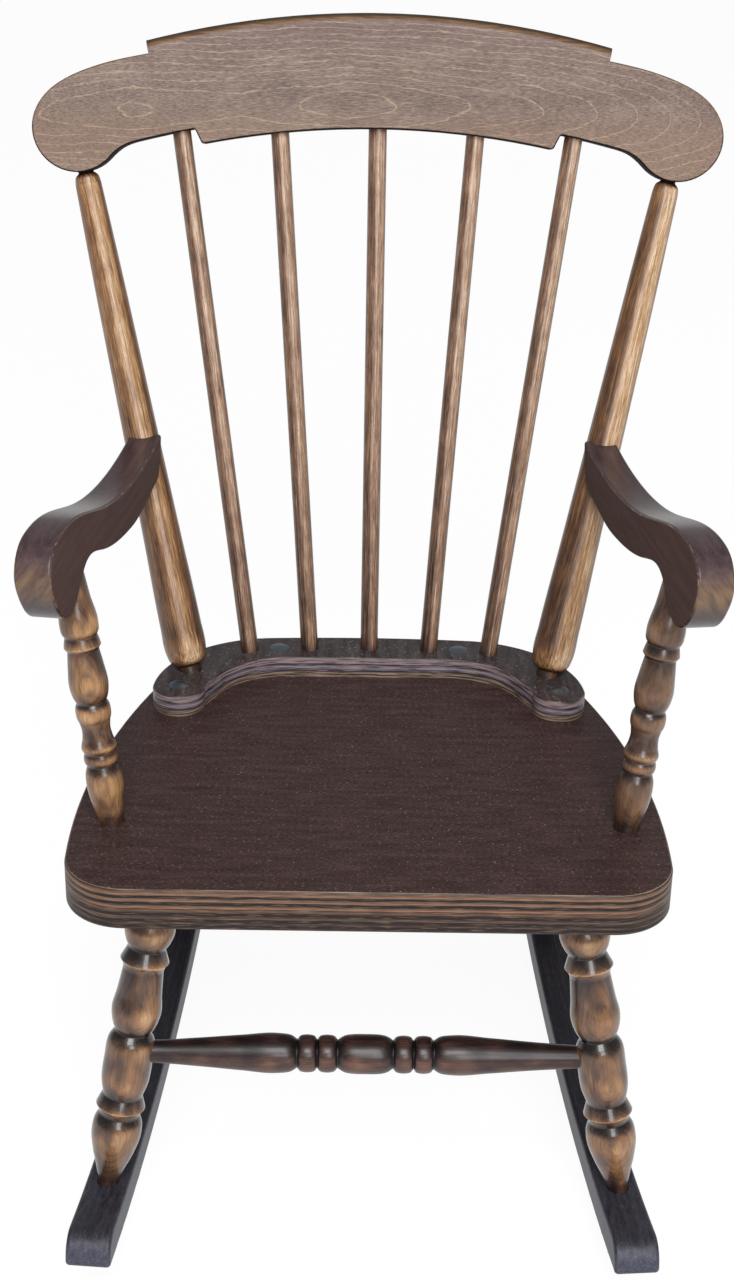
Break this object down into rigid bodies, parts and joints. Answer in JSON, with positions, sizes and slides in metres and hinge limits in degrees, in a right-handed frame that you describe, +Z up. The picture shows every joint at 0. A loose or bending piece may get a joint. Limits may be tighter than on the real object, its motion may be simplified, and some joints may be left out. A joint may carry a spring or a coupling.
{
  "type": "rocking chair",
  "caption": "Child's rocking chair: spindle back with stepped crest rail, rolled arms, turned legs, plywood seat with a horseshoe collar, on curved rockers.",
  "frame": {"origin": "on the floor, below the middle of the bounding box; X = 0 is the chair's plane of symmetry", "axes": "+Z up, the sitter faces -Y, +X to the sitter's left"},
  "size_m": [0.4454, 0.5057, 0.6558],
  "materials": {
    "seat_plywood": "dark stained plywood, satin varnish",
    "collar_plywood": "dark stained plywood, satin varnish",
    "crest_wood": "flat-sawn wood, brown stain, worn satin varnish",
    "spindle_wood": "dowel, brown stain, satin varnish",
    "post_wood": "turned wood, golden brown stain, satin varnish",
    "support_wood": "turned wood, amber brown stain, gloss varnish",
    "arm_wood": "sawn board, dark brown stain, worn gloss on the roll",
    "leg_wood": "turned wood, amber brown stain, gloss varnish",
    "stretcher_wood": "turned wood, dark reddish brown stain",
    "rocker_wood": "sawn board, near-black brown stain",
    "cap_plastic": "dark blue-black, glossy",
    "screw_steel": "zinc plated"
  },
  "bodies": {
    "root": {"arm_left": "arm_wood", "arm_right": "arm_wood", "arm_screw_caps": "cap_plastic", "arm_screws": "screw_steel", "arm_support_left": "support_wood", "arm_support_right": "support_wood", "back_post_left": "post_wood", "back_post_right": "post_wood", "collar_screw_caps": "cap_plastic", "collar_screws": "screw_steel", "crest_rail": "crest_wood", "front_leg_left": "leg_wood", "front_leg_right": "leg_wood", "front_stretcher": "stretcher_wood", "rear_leg_left": "leg_wood", "rear_leg_right": "leg_wood", "rear_stretcher": "stretcher_wood", "rocker_left": "rocker_wood", "rocker_right": "rocker_wood", "rocker_screws": "screw_steel", "seat": "seat_plywood", "seat_collar": "collar_plywood", "spindle_1": "spindle_wood", "spindle_2": "spindle_wood", "spindle_3": "spindle_wood", "spindle_4": "spindle_wood", "spindle_5": "spindle_wood"}
  },
  "joints": []
}
